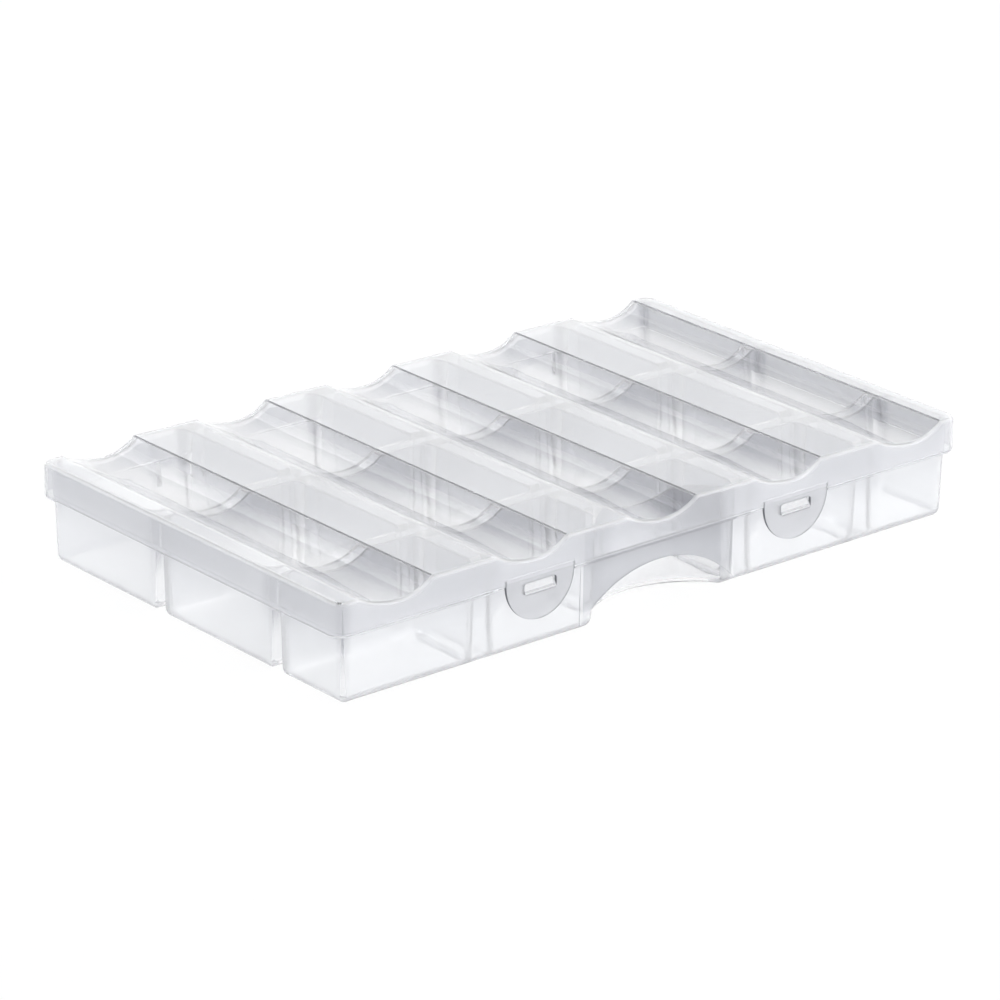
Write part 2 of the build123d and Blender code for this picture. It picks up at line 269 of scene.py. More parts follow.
class Finish(bpy.types.PropertyGroup):
    """Tint and clearness of the plastic, and of the painted shade laid on it."""

    lid_tint: tint("Lid tint", "Colour that the scoops pass", (0.99, 0.991, 0.995))
    flat_tint: tint("Flat tint", "Colour of the lid between the scoops", (0.985, 0.986, 0.99))
    rim_tint: tint("Rim tint", "Colour of the lid's rim", (0.90, 0.902, 0.91))
    skirt_tint: tint("Skirt tint", "Colour of the lid's skirt", (0.86, 0.863, 0.88))
    tab_tint: tint("Tab tint", "Colour of the latch tabs", (0.78, 0.783, 0.80))
    # Painted shade: dark lines on the cut edges of tabs and arch
    edge_shade_tint: tint("Edge tint", "Colour of the cut edges of tabs and arch", (0.15, 0.155, 0.17))
    # Painted shade: grey over the hand-hold's panel
    panel_shade_tint: tint("Panel tint", "Colour of the hand-hold's panel", (0.68, 0.685, 0.71))
    floor_tint: tint("Floor tint", "Colour of the base's floors", (0.99, 0.991, 0.995))
    base_tint: tint("Base tint", "Colour of the base's walls", (0.955, 0.957, 0.965))
    outer_tint: tint("Outer tint", "Colour of the base's outsides", (0.92, 0.924, 0.938))
    # Painted shade: inner walls darkened near their tops
    wall_top_shade_tint: tint("Wall top tint", "Inner walls near their tops", (0.70, 0.705, 0.73))
    # Painted shade: in inner corners near their tops and along the lid's crests
    corner_and_crest_shade_tint: tint("Corner tint", "Inner corners near their tops", (0.45, 0.455, 0.49))
    # Painted shade: on the rounded foot near the floor
    foot_shade_tint: tint("Foot tint", "Rounding round the underside", (0.62, 0.625, 0.645))
    # Painted shade: thin dark lines round the compartments' mouths
    mouth_shade_tint: tint("Mouth tint", "Edges round the compartments", (0.30, 0.305, 0.33))
    lid_top_clearness: share("Lid top clearness", "Light through the scoops", 0.99)
    flat_clearness: share("Flat clearness", "The same between the scoops", 0.72)
    # Clearness of the crests' painted shade
    crest_shade_clearness: share("Crest clearness", "Light through the crests", 0.85)
    rim_clearness: share("Rim clearness", "Light through the lid's rim", 0.6)
    skirt_clearness: share("Skirt clearness", "Light through the skirt", 0.76)
    # Clearness of the cut edges' painted shade
    edge_shade_clearness: share("Edge clearness", "Light through cut edges", 0.1)
    # Clearness of the hand-hold panel's painted shade
    panel_shade_clearness: share("Panel clearness", "Light through the hand-hold's panel", 0.6)
    floor_clearness: share("Floor clearness", "Light through the floors", 0.985)
    wall_clearness: share("Wall clearness", "Light through the base's walls", 0.84)
    # Clearness of the foot's painted shade
    foot_shade_clearness: share("Foot clearness", "Light through the rounded foot", 0.6)
    outer_clearness: share("Outer clearness", "Light through the base's outsides", 0.6)
    # Clearness of the painted shade near the inner walls' tops and in their corners
    wall_top_shade_clearness: share("Wall top clearness", "The same near the walls' tops inside", 0.82)
    # Clearness of the mouths' painted shade
    mouth_shade_clearness: share("Mouth clearness", "The same of edges round compartments", 0.45)
    lid_roughness: share("Lid roughness", "Roughness of the lid", 0.04)
    base_roughness: share("Base roughness", "Roughness of the base", 0.08)


def lid_sizes():
    """Present sizes of the lid."""
    return bpy.context.scene.storage_box_lid


def base_sizes():
    """Present sizes of the base."""
    return bpy.context.scene.storage_box_base


def finish():
    """Present tints and clearness."""
    return bpy.context.scene.storage_box_finish


# Curves that all pieces share


def first_scoop():
    """X of the first scoop's start."""
    s = lid_sizes()
    return s.first_margin - s.half_length


def dip(distance, run, depth):
    """Rise of a circle over its lowest point, where it has the given depth at the given run."""
    radius = (run**2 + depth**2) / (2 * depth)
    return radius - np.sqrt(radius**2 - np.minimum(np.abs(distance), run) ** 2)


def wave(x):
    """Height of the lid's top line at x.

    Each pitch has a circle from the plateau down to the low line, a tighter circle up to the
    crest, and a straight fall back to the plateau. It is level before the first scoop and after
    the last crest.
    """
    s = lid_sizes()
    number = np.clip(np.floor((x - first_scoop()) / s.pitch), 0, s.scoops - 1)
    along = x - first_scoop() - number * s.pitch
    falling = s.scoop_low + dip(along - s.scoop_fall, s.scoop_fall, s.plateau - s.scoop_low)
    rise_run = s.scoop_run - s.scoop_fall
    rising = s.scoop_low + dip(along - s.scoop_fall, rise_run, s.crest - s.scoop_low)
    fallen = (along - s.scoop_run) / (s.pitch - s.scoop_run)
    flat = s.crest - (s.crest - s.plateau) * np.where(number < s.scoops - 1, fallen, 0)
    out = np.where(along < s.scoop_fall, falling, rising)
    out = np.where(along > s.scoop_run, flat, out)
    return np.where(along < 0, s.plateau, out)


def wave_stations(low, high):
    """X of the lines across the wave between two ends: each start, low line, crest and step."""
    s = lid_sizes()
    fall = np.linspace(0, s.scoop_fall, SCOOP_STEPS)
    rise = np.linspace(s.scoop_fall, s.scoop_run, SCOOP_STEPS)
    one = np.unique(np.concatenate([fall, rise]))
    starts = first_scoop() + s.pitch * np.arange(s.scoops)
    inside = (starts[:, None] + one[None, :]).ravel()
    inside = inside[(inside > low) & (inside < high)]
    return np.concatenate([[low], inside, [high]])


def drafted(z):
    """Sideways shift of a drafted wall at height z."""
    b = base_sizes()
    return (b.draw_height - z) * math.tan(b.draft)


def arch(x):
    """Height of the arch's circle at x, or 0 outside it."""
    b = base_sizes()
    radius = (b.arch_half_width**2 + b.arch_rise**2) / (2 * b.arch_rise)
    room = np.maximum(radius**2 - x**2, 0)
    return np.maximum(b.arch_rise - radius + np.sqrt(room), 0)


# Rings and grids


def rings(half_x, half_y, front_radius, rear_radius, stations):
    """Rounded rectangles about the origin, anticlockwise from the left end's front corner.

    Each has four quarter circles joined by straight sides. The front and rear sides hold the
    stations, kept between the corners, and the end sides are cut in even parts.
    """
    radii = [np.maximum(radius, LEAST_RADIUS) for radius in (front_radius, rear_radius)]
    hx, hy, front, rear = (np.atleast_1d(v)[:, None] for v in (half_x, half_y, *radii))
    front_x = np.clip(stations[None, :], front - hx, hx - front)
    rear_x = np.clip(stations[None, ::-1], rear - hx, hx - rear)
    end_y = front - hy + (2 * hy - rear - front) * np.arange(1, ROWS) / ROWS
    parts = []
    for number, (radius, side_x, side_y, then_x, then_y) in enumerate((
        (front, -1, -1, front_x, -hy), (front, 1, -1, hx, end_y),
        (rear, 1, 1, rear_x, hy), (rear, -1, 1, -hx, end_y[:, ::-1]),
    )):
        angle = np.linspace(0, math.pi / 2, CORNER_STEPS + 1) + (number / 2 + 1) * math.pi
        parts.append((side_x * (hx - radius) + radius * np.cos(angle),
                      side_y * (hy - radius) + radius * np.sin(angle)))
        parts.append(np.broadcast_arrays(then_x, then_y))
    return tuple(np.concatenate(part, axis=1) for part in zip(*parts))


def sheet(points, closed=False):
    """Grid of points, rows by columns by 3, as vertices and four-sided faces between neighbours.

    Each row has one face fewer than it has points, or as many where it closes round.
    """
    rows, columns = points.shape[:2]
    steps = columns if closed else columns - 1
    row, column = np.meshgrid(np.arange(rows - 1), np.arange(steps), indexing="ij")
    here = row * columns + column
    beside = row * columns + (column + 1) % columns
    faces = np.stack([here, beside, beside + columns, here + columns], axis=-1)
    return points.reshape(-1, 3), faces.reshape(-1, 4)


def tube(x, y, z):
    """Rings of points, one row for each, as vertices and faces closed round."""
    return sheet(np.stack(np.broadcast_arrays(x, y, z), axis=-1), closed=True)


def cap(x, y, height):
    """Sheet inside one ring: straight lines from its front half to its rear half.

    Height is a function of x, so the sheet follows the wave.
    """
    half = (len(x) - 2 * (ROWS - 1)) // 2
    front = np.stack([x[:half], y[:half]], axis=-1)
    start = half + ROWS - 1
    rear = np.stack([x[start:start + half], y[start:start + half]], axis=-1)[::-1]
    part = (np.arange(ROWS + 1) / ROWS)[:, None, None]
    plan = front[None] + (rear - front)[None] * part
    z = np.broadcast_to(height(plan[..., 0]), plan.shape[:2])
    return sheet(np.concatenate([plan, z[..., None]], axis=-1))


def level(z):
    """Height function of a level sheet."""
    return lambda x: np.full(np.shape(x), z)


def raised(curve, rise):
    """Height function of a curve moved up."""
    return lambda x: curve(x) + rise


def linked(name, data):
    """New object of the data, in the scene."""
    made = bpy.data.objects.new(name, data)
    bpy.context.scene.collection.objects.link(made)
    return made


def closed_object(name, grids):
    """Mesh object of several grids, joined where they meet, with its faces outwards."""
    points = np.concatenate([g[0] for g in grids])
    starts = np.cumsum([0] + [len(g[0]) for g in grids[:-1]])
    faces = np.concatenate([g[1] + start for g, start in zip(grids, starts)])
    mesh = bpy.data.meshes.new(name)
    mesh.from_pydata(points.tolist(), [], faces.tolist())
    shell = bmesh.new()
    shell.from_mesh(mesh)
    bmesh.ops.remove_doubles(shell, verts=shell.verts, dist=MERGE_DISTANCE)
    bmesh.ops.dissolve_degenerate(shell, edges=shell.edges, dist=MERGE_DISTANCE)
    bmesh.ops.recalc_face_normals(shell, faces=shell.faces)
    shell.to_mesh(mesh)
    shell.free()
    return linked(name, mesh)


def ring_grids(x, y, z, bottom, top):
    """Grids of a solid between rings listed from its top to its foot, with a sheet at each end."""
    return [tube(x, y, z), cap(x[0], y[0], top), cap(x[-1], y[-1], bottom)]


def ring_solid(name, x, y, upper, low, top):
    """Solid between rings, upper ones with heights along them and then level ones."""
    z = np.concatenate([upper, np.tile(np.reshape(low, (-1, 1)), x.shape[1])])
    return closed_object(name, ring_grids(x, y, z, level(low[-1]), top))


def bar_along_x(name, stations, corners):
    """Solid bar: at each station a four-sided section whose corners are functions of x."""
    sections = [np.stack([stations, y(stations), z(stations)], axis=-1) for y, z in corners]
    around = np.stack(sections, axis=1)
    shell = tube(*np.moveaxis(around, -1, 0))
    ends = [sheet(np.stack([around[end, :2], around[end, [3, 2]]])) for end in (0, -1)]
    return closed_object(name, [shell] + ends)


def block(name, low, high):
    """Plain block between two corners."""
    corners = [
        (level(low[1]), level(low[2])), (level(high[1]), level(low[2])),
        (level(high[1]), level(high[2])), (level(low[1]), level(high[2])),
    ]
    return bar_along_x(name, np.array([low[0], high[0]]), corners)


def prism_along_x(name, outline, x_low, x_high):
    """Solid with a Y-Z outline, drawn out along X. Its ends are fanned from their middles."""
    outline = np.asarray(outline)
    middle = np.broadcast_to(outline.mean(axis=0), outline.shape)
    sections = np.stack([middle, outline, outline, middle])
    x = np.array([x_low, x_low, x_high, x_high])[:, None]
    return closed_object(name, [tube(x, *np.moveaxis(sections, -1, 0))])


def circle_outline(y, z, radius):
    """Y-Z points of a circle."""
    turn = np.linspace(0, 2 * math.pi, ROUND_STEPS // 2, endpoint=False)
    return np.column_stack([y + radius * np.cos(turn), z + radius * np.sin(turn)])


def combined(target, operation, others):
    """Applies one boolean operation with each of the other solids, which are then removed."""
    for other in others:
        step = target.modifiers.new(operation.title(), "BOOLEAN")
        step.operation = operation
        step.solver = "MANIFOLD"
        step.object = other
    bpy.context.view_layer.update()
    result = bpy.data.meshes.new_from_object(
        target.evaluated_get(bpy.context.evaluated_depsgraph_get())
    )
    target.modifiers.clear()
    target.data = result
    for other in others:
        bpy.data.objects.remove(other)
    return target


def finish_piece(piece, nodes, body, material):
    """Smooths a piece, gives it its finish, ties it to its body and hides the CAD nodes it takes
    the place of.
    """
    mesh = piece.data
    mesh.shade_smooth()
    mesh.set_sharp_from_angle(angle=SMOOTH_ANGLE)
    mesh.materials.clear()
    mesh.materials.append(material)
    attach(piece, body)
    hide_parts(*nodes)


# Lid


def lid_shell():
    """Closed sheet of the lid.

    One profile is carried round the plan: out over the rounded rim, down the skirt, round its
    lip and up inside. The top and its underside follow the wave.
    """
    s = lid_sizes()
    stations = wave_stations(s.corner_radius - s.half_length, s.half_length - s.corner_radius)
    turn = np.linspace(0, math.pi / 2, EDGE_STEPS + 1)
    lip = np.linspace(0, math.pi, EDGE_STEPS + 1)
    outer = s.rim_radius
    inner = s.inner_rim_radius
    lip_middle = s.wall / 2
    inset = np.concatenate([
        outer * (1 - np.sin(turn)),
        lip_middle * (1 - np.cos(lip)),
        s.wall + inner * (1 - np.cos(turn)),
    ])
    drop = np.concatenate([
        outer * (1 - np.cos(turn)), 0 * lip, s.wall + inner * (1 - np.sin(turn))
    ])
    lift = np.concatenate([0 * turn, s.lip_radius * (1 - np.sin(lip)), 0 * turn])
    from_top = np.concatenate([0 * turn + 1, 0 * lip, 0 * turn + 1])[:, None]
    x, y = rings(
        s.half_length - inset, s.half_depth - inset,
        s.corner_radius - inset, s.corner_radius - inset, stations,
    )
    z = from_top * (wave(x) - drop[:, None]) + (1 - from_top) * (s.skirt_bottom + lift[:, None])
    return closed_object("lid_cover", ring_grids(x, y, z, raised(wave, -s.wall), wave))


def hinge_hook(low, high):
    """Hook that hangs from the rear skirt: an arm and an eye, bored and open below."""
    s = lid_sizes()
    b = base_sizes()
    axis_y, axis_z = hinge_axis()
    radius = high.y - axis_y
    root = s.half_depth - s.wall / 2
    arm = [
        (root, high.z), (root, s.skirt_bottom), (s.half_depth, s.skirt_bottom),
        (axis_y - radius, axis_z), (axis_y + radius, axis_z),
        (axis_y + radius, s.skirt_bottom), (s.half_depth + radius, high.z),
    ]
    solid = prism_along_x("hook_arm", arm, low.x, high.x)
    eye = prism_along_x("hook_eye", circle_outline(axis_y, axis_z, radius), low.x, high.x)
    solid = combined(solid, "UNION", [eye])
    bore = circle_outline(axis_y, axis_z, b.pin_radius * HOOK_BORE)
    cutters = [
        prism_along_x("hook_bore", bore, low.x - OVERRUN, high.x + OVERRUN),
        block("hook_mouth", (low.x - OVERRUN, axis_y - HOOK_MOUTH, low.z - OVERRUN),
              (high.x + OVERRUN, axis_y + HOOK_MOUTH, axis_z)),
    ]
    return combined(solid, "DIFFERENCE", cutters)


def hinge_axis():
    """Y and Z of the lid's hinge axis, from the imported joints."""
    joint = next(j for j in frame["joints"] if j["name"] == "lid_hinge")
    return joint["pos_m"][1], joint["pos_m"][2]


def tab_opening(low, high):
    """Block that opens the skirt for a tab, with a slit each side."""
    s = lid_sizes()
    return block(
        "tab_opening",
        (low.x - s.tab_slit, -s.half_depth - OVERRUN, s.skirt_bottom - OVERRUN),
        (high.x + s.tab_slit, s.wall + s.tab_slit - s.half_depth, high.z),
    )


def latch_tab(name, low, high):
    """Tongue with a round end: an outline carried through the thickness, with a window.

    The outline is a half circle about the skirt's lower edge and a straight neck above it.
    """
    s = lid_sizes()
    middle = (low.x + high.x) / 2
    turn = np.linspace(math.pi, 1.5 * math.pi, ROUND_STEPS // 4)
    bevel = TAB_BEVEL * s.tab_edge
    inset = np.array([s.tab_edge, bevel, 0, 0, bevel])[:, None]
    depth = np.array([0, bevel, s.tab_edge, s.wall - s.tab_edge, s.wall])
    y = (low.y + depth)[:, None]
    left_x = np.concatenate([[-1.0], np.cos(turn)])[None, :] * (s.tab_radius - inset)
    arc_z = s.skirt_bottom + np.sin(turn)[None, :] * (s.tab_radius - inset)
    left_z = np.concatenate([np.full((len(inset), 1), high.z), arc_z], axis=1)
    top_x = left_x[:, :1] * (2 * np.arange(1, ROWS) / ROWS - 1)
    x = np.concatenate([left_x, -left_x[:, -2::-1], top_x], axis=1) + middle
    z = np.concatenate([left_z, left_z[:, -2::-1], left_z[:, :1] + 0 * top_x], axis=1)
    grids = [tube(x, y, z)]
    part = (np.arange(ROWS + 1) / ROWS)[:, None]
    for end in (0, -1):
        across = left_x[end] * (1 - 2 * part) + middle
        up = np.broadcast_to(left_z[end], across.shape)
        grids.append(sheet(np.stack([across, np.full(across.shape, y[end, 0]), up], axis=-1)))
    tongue = closed_object(name, grids)
    half_width, half_height = np.full(2, s.window_width / 2), np.full(2, s.window_height / 2)
    wx, wz = rings(half_width, half_height, s.window_radius, s.window_radius, np.array([0.0]))
    near, far = low.y - OVERRUN, high.y + OVERRUN
    centre = (middle, 0, low.z + s.window_above_tip + s.window_height / 2)
    window = [
        (points[:, [0, 2, 1]] + centre, faces)
        for points, faces in ring_grids(wx, wz, np.array([[near], [far]]), level(far), level(near))
    ]
    return combined(tongue, "DIFFERENCE", [closed_object("window", window)])


# Base


def base_half_sizes():
    """Half length and half depth of the base at its draw height."""
    s = lid_sizes()
    b = base_sizes()
    return s.half_length - s.wall - b.end_gap, s.half_depth - s.wall - b.side_gap


def row_places():
    """Front and rear Y of the compartments of each row, from front to rear."""
    b = base_sizes()
    half_depth = base_half_sizes()[1]
    front = b.wall - half_depth
    middle = front + b.front_row + b.row_divider
    rear = middle + b.middle_row + b.row_divider
    return [
        (front, front + b.front_row), (middle, middle + b.middle_row), (rear, half_depth - b.wall)
    ]


def divider_places():
    """X of the middle of each column divider."""
    s = lid_sizes()
    starts = first_scoop() + s.pitch * np.arange(s.scoops - 1)
    return starts + s.scoop_run + base_sizes().after_crest


def deck(x):
    """Height of the base's top, which keeps one gap under the lid's top line."""
    return wave(x) - base_sizes().below_lid


def hold_centre():
    """Y of the middle of the hand-hold's circle."""
    b = base_sizes()
    return -base_half_sizes()[1] + b.hold_depth - b.hold_radius


def hold_front(x, inset):
    """Y of the base's front face at x, moved inwards by an inset.

    It is straight, then a convex circle, then the hand-hold's own circle, which are tangent.
    """
    b = base_sizes()
    front = -base_half_sizes()[1]
    centre_y = hold_centre()
    reach = b.hold_radius + b.hold_blend
    blend_x = math.sqrt(reach**2 - (front + b.hold_blend - centre_y) ** 2)
    meet = blend_x * (b.hold_radius + inset) / reach
    distance = np.abs(x)
    inner = centre_y + np.sqrt(np.maximum((b.hold_radius + inset) ** 2 - x**2, 0))
    room = np.maximum((b.hold_blend - inset) ** 2 - (distance - blend_x) ** 2, 0)
    outer = front + b.hold_blend - np.sqrt(room)
    out = np.where(distance < meet, inner, outer)
    return np.where(distance > blend_x, front + inset, out)


def trough(row, y_low, y_high):
    """Outside of one row of compartments, filled: drafted rings with a rounded foot."""
    b = base_sizes()
    half_x = base_half_sizes()[0]
    half_y = (y_high - y_low) / 2 + b.wall
    middle_y = (y_low + y_high) / 2
    stations = wave_stations(-half_x, half_x)
    if row == "front":
        reach = b.hold_radius + b.hold_blend
        stations = np.unique(np.concatenate([stations, np.linspace(-reach, reach, ROUND_STEPS)]))
    turn = np.linspace(0, math.pi / 2, EDGE_STEPS + 2)
    inset = np.concatenate([
        [drafted(DECK_DRAFT)], drafted(OUTER_RINGS),
        drafted(b.edge_radius) + b.edge_radius * (1 - np.cos(turn)),
    ])
    z_low = np.concatenate([OUTER_RINGS, b.edge_radius * (1 - np.sin(turn))])
    front_radius = b.corner_radius if row == "front" else b.groove_radius
    rear_radius = b.corner_radius if row == "rear" else b.groove_radius
    x, y = rings(half_x - inset, half_y - inset, front_radius - inset,
                 rear_radius - inset, stations)
    y = y + middle_y
    if row == "front":
        at_front = slice(CORNER_STEPS + 1, CORNER_STEPS + 1 + len(stations))
        y[:, at_front] = hold_front(x[:, at_front], inset[:, None])
    return ring_solid(f"{row}_blank", x, y, deck(x[:1]), z_low, deck)


def floor_rounding(turn):
    """Insets and heights of the circle round a compartment's floor, at the given turns."""
    b = base_sizes()
    start = b.wall + b.floor_radius
    inset = drafted(start) + b.floor_radius * (1 - np.cos(turn))
    return inset, start - b.floor_radius * np.sin(turn)


def compartment(x_low, x_high, y_low, y_high):
    """Hollow of one compartment: drafted rings with a rounded mouth and a rounded floor."""
    b = base_sizes()
    half_x, half_y = (x_high - x_low) / 2, (y_high - y_low) / 2
    middle_x, middle_y = (x_low + x_high) / 2, (y_low + y_high) / 2
    mouth = np.linspace(MOUTH_TURN, 0, EDGE_STEPS)
    mouth_grow = b.mouth_radius * (1 - np.cos(mouth))
    flare = np.concatenate([mouth_grow[:1], mouth_grow])
    mouth_drop = np.concatenate([[-OVERRUN], b.mouth_radius * (1 - np.sin(mouth))])
    low_inset, low_z = floor_rounding(np.linspace(0, math.pi / 2, EDGE_STEPS + 3))
    inset = np.concatenate([drafted(DECK_DRAFT) - flare, drafted(INNER_RINGS), low_inset])
    z_low = np.concatenate([INNER_RINGS, low_z])
    radius = b.pocket_radius - inset
    local = wave_stations(x_low, x_high) - middle_x
    x, y = rings(half_x - inset, half_y - inset, radius, radius, local)
    x, y = x + middle_x, y + middle_y
    upper = deck(x[:len(mouth_drop)]) - mouth_drop[:, None]
    return ring_solid("compartment", x, y, upper, z_low, raised(deck, OVERRUN))


def hold_core():
    """Round core that keeps a compartment one wall clear of the hand-hold, with a flared foot."""
    b = base_sizes()
    flare, flare_z = floor_rounding(np.linspace(FLARE_TURN, 0, EDGE_STEPS + 2))
    widest = b.hold_radius + 2 * OVERRUN + drafted(0)
    clear = b.hold_radius + b.wall
    radius = np.concatenate([[0, widest, widest], clear + flare, [clear, 0]])
    z = np.concatenate([
        [-OVERRUN, -OVERRUN, b.wall - CORE_FOOT], flare_z, [b.draw_height, b.draw_height]
    ])
    angle = np.linspace(0, 2 * math.pi, 2 * ROUND_STEPS, endpoint=False)
    x = radius[:, None] * np.cos(angle)
    y = radius[:, None] * np.sin(angle) + hold_centre()
    return closed_object("hold_core", [tube(x, y, z[:, None])])


def divider_pocket(x, y_low, y_high):
    """Gap inside a column divider, open from below and narrowing upwards to under the deck."""
    b = base_sizes()
    clear = b.hold_radius + b.wall + b.edge_radius
    low = y_low + b.edge_radius
    if y_low < row_places()[1][0] and abs(x) < clear:
        low = max(low, hold_centre() + math.sqrt(clear**2 - x**2))
    high = y_high - b.edge_radius
    narrowing = drafted(0) - np.array([drafted(0), drafted(b.edge_radius), 0.0])
    half_x = b.column_divider / 2 - b.wall + drafted(0) - narrowing
    half_y = (high - low) / 2 - narrowing
    local = np.linspace(-half_x[-1], half_x[-1], 4)
    px, py = rings(half_x[::-1], half_y[::-1], LEAST_RADIUS, LEAST_RADIUS, local)
    px, py = px + x, py + (low + high) / 2
    top = raised(deck, -b.wall)
    return ring_solid("pocket", px, py, top(px[:1]), [b.edge_radius, -OVERRUN], top)


def row_bridge(y_low, y_high):
    """Top of a row divider between two troughs, and the wall that closes each of its ends."""
    b = base_sizes()
    half_x = base_half_sizes()[0] - drafted(LEDGE_LOW.z)
    bite = b.wall / 2
    top, under = raised(deck, -BRIDGE_DROP), raised(deck, -b.wall)
    low, high = level(y_low - bite), level(y_high + bite)
    stations = wave_stations(-half_x, half_x)
    bar = bar_along_x("bridge", stations, [(low, under), (high, under), (high, top), (low, top)])
    ends = []
    for side in (-1, 1):
        edges = sorted((side * half_x, side * (half_x - b.closure)))
        ends.append(block(
            "closure", (edges[0], y_low - bite, LEDGE_LOW.z + b.ledge_inset),
            (edges[1], y_high + bite, float(deck(edges[0])) - b.wall / 2),
        ))
    return [bar] + ends


def ledge():
    """Ledge round the base as a closed band, notched at the tabs."""
    s = lid_sizes()
    b = base_sizes()
    half_x, half_y = base_half_sizes()
    outer = np.array([b.ledge_inset, b.ledge_inset, b.ledge_inset + LEDGE_EDGE])
    low, high = LEDGE_LOW.z, LEDGE_HIGH.z
    inset_x, inset_y = (
        np.concatenate([outer, np.full(2, gap + drafted(low) + b.wall / 2), outer[2:], outer[:1]])
        for gap in (s.half_length - half_x, s.half_depth - half_y)
    )
    z = np.array([low + LEDGE_EDGE, high - LEDGE_EDGE, high, high, low, low, low + LEDGE_EDGE])
    radius = s.corner_radius - np.minimum(inset_x, inset_y)
    x, y = rings(s.half_length - inset_x, s.half_depth - inset_y, radius, radius,
                 np.linspace(-half_x, half_x, ROWS))
    band = closed_object("ledge", [tube(x, y, z[:, None])])
    notches = [
        block("notch", (tab_low.x - 2 * s.tab_slit, -s.half_depth - OVERRUN, low - OVERRUN),
              (tab_high.x + 2 * s.tab_slit, NOTCH_GAP + s.wall - s.half_depth, high + OVERRUN))
        for tab_low, tab_high in TAB_BOXES
    ]
    return combined(band, "DIFFERENCE", notches)


def hold_panel():
    """Thin front panel over the hand-hold, with the arch as its lower edge."""
    b = base_sizes()
    front, rear = PANEL_LOW.y, PANEL_HIGH.y
    stations = np.linspace(PANEL_LOW.x - b.wall, PANEL_HIGH.x + b.wall, ROUND_STEPS + 1)
    top = level(LEDGE_LOW.z + b.ledge_inset)
    corners = [(level(front), arch), (level(rear), arch), (level(rear), top), (level(front), top)]
    return bar_along_x("hold_panel", stations, corners)


def catch(name):
    """Wedge on the front wall: a Y-Z outline drawn out along X, rooted in the wall."""
    low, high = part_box(name)
    front = -base_half_sizes()[1]
    root = front + CATCH_ROOT
    outline = [
        (root, low.z), (low.y, low.z), (low.y, low.z + CATCH_NOSE),
        (front + CATCH_STEP, high.z), (root, high.z),
    ]
    return prism_along_x("catch_wedge", outline, low.x, high.x)


def hinge_lug(name):
    """Two ears rooted in the rear wall, each with a round end, and the bar between them."""
    b = base_sizes()
    low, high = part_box(name)
    axis_y, axis_z = hinge_axis()
    radius = high.z - axis_z
    root = base_half_sizes()[1] - b.wall
    foot = math.atan2(axis_z - low.z - radius, axis_y - root)
    turn = np.linspace(-math.pi / 2 + foot, math.pi / 2, ROUND_STEPS // 4)
    end = np.column_stack([axis_y + radius * np.cos(turn), axis_z + radius * np.sin(turn)])
    outline = np.concatenate([[(root, high.z), (root, low.z - radius / 2)], end])
    return [
        prism_along_x("ear", outline, low.x, low.x + b.ear_width),
        prism_along_x("ear", outline, high.x - b.ear_width, high.x),
        prism_along_x("bar", circle_outline(axis_y, axis_z, b.pin_radius),
                      low.x + b.ear_width / 2, high.x - b.ear_width / 2),
    ]


# Materials


def bare_tree(owner):
    """Emptied node tree of a material or of the surroundings."""
    owner.use_nodes = True
    owner.node_tree.nodes.clear()
    return owner.node_tree


def shader_node(tree, kind, inputs=None, **settings):
    """Outputs of a new node with its settings and inputs. An input is a socket or a value."""
    node = tree.nodes.new("ShaderNode" + kind)
    for name, value in settings.items():
        setattr(node, name, value)
    for key, value in (inputs or {}).items():
        if isinstance(value, bpy.types.NodeSocket):
            tree.links.new(value, node.inputs[key])
        else:
            node.inputs[key].default_value = value
    return node.outputs


def calculated(tree, operation, *values):
    """Result of a math node on sockets or numbers."""
    return shader_node(tree, "Math", dict(enumerate(values)), operation=operation)[0]


def both(tree, first, second):
    """Product of two shares."""
    return calculated(tree, "MULTIPLY", first, second)


def ramped(tree, value, low, high, at_low=0.0, at_high=1.0):
    """Smooth ramp of a value: at_low up to low, at_high from high on. The ends may be sockets."""
    names = ("Value", "From Min", "From Max", "To Min", "To Max")
    ramp = dict(zip(names, (value, low, high, at_low, at_high)))
    return shader_node(tree, "MapRange", ramp, interpolation_type="SMOOTHSTEP")["Result"]


def between(tree, part, first, second):
    """Mix of two colours by a share, from the colour sockets of a mix node."""
    colours = {0: part, COLOUR_A: first, COLOUR_B: second}
    return shader_node(tree, "Mix", colours, data_type="RGBA")[COLOUR_RESULT]


def mixed(tree, part, first, second):
    """Mix of two shaders by a share."""
    return shader_node(tree, "MixShader", {0: part, 1: first, 2: second})[0]


def surface_place(tree):
    """Sockets of the surface in the piece's own frame: its place, its normal and how much of it
    faces along each axis."""
    place = shader_node(tree, "TexCoord")
    at = shader_node(tree, "SeparateXYZ", {0: place["Object"]})
    normal = shader_node(tree, "SeparateXYZ", {0: place["Normal"]})
    faces = {axis: calculated(tree, "ABSOLUTE", normal[axis]) for axis in "XYZ"}
    return place["Object"], at, normal, faces


def layered(tree, layers):
    """Colour and clearness of a plastic: each layer is laid over those before by its share.

    A layer is a share socket, a colour and a clearness. The first layer covers everything.
    """
    _, colour, clear = layers[0]
    colour = (*colour, 1)
    for part, next_colour, next_clear in layers[1:]:
        colour = between(tree, part, colour, (*next_colour, 1))
        clear = ramped(tree, part, 0.0, 1.0, clear, next_clear)
    return colour, clear


def fine_waviness(tree, place, roughness):
    """Faint unevenness of moulded plastic, as a shallow bump and in its roughness."""
    size = {"Vector": place, "Scale": WAVE_SCALE, "Detail": WAVE_DETAIL}
    noise = shader_node(tree, "TexNoise", size)[0]
    bump = {"Strength": WAVE_STRENGTH, "Distance": WAVE_DEPTH, "Height": noise}
    gloss = [part * roughness for part in GLOSS_RANGE]
    return shader_node(tree, "Bump", bump)[0], ramped(tree, noise, *WAVE_RANGE, *gloss)


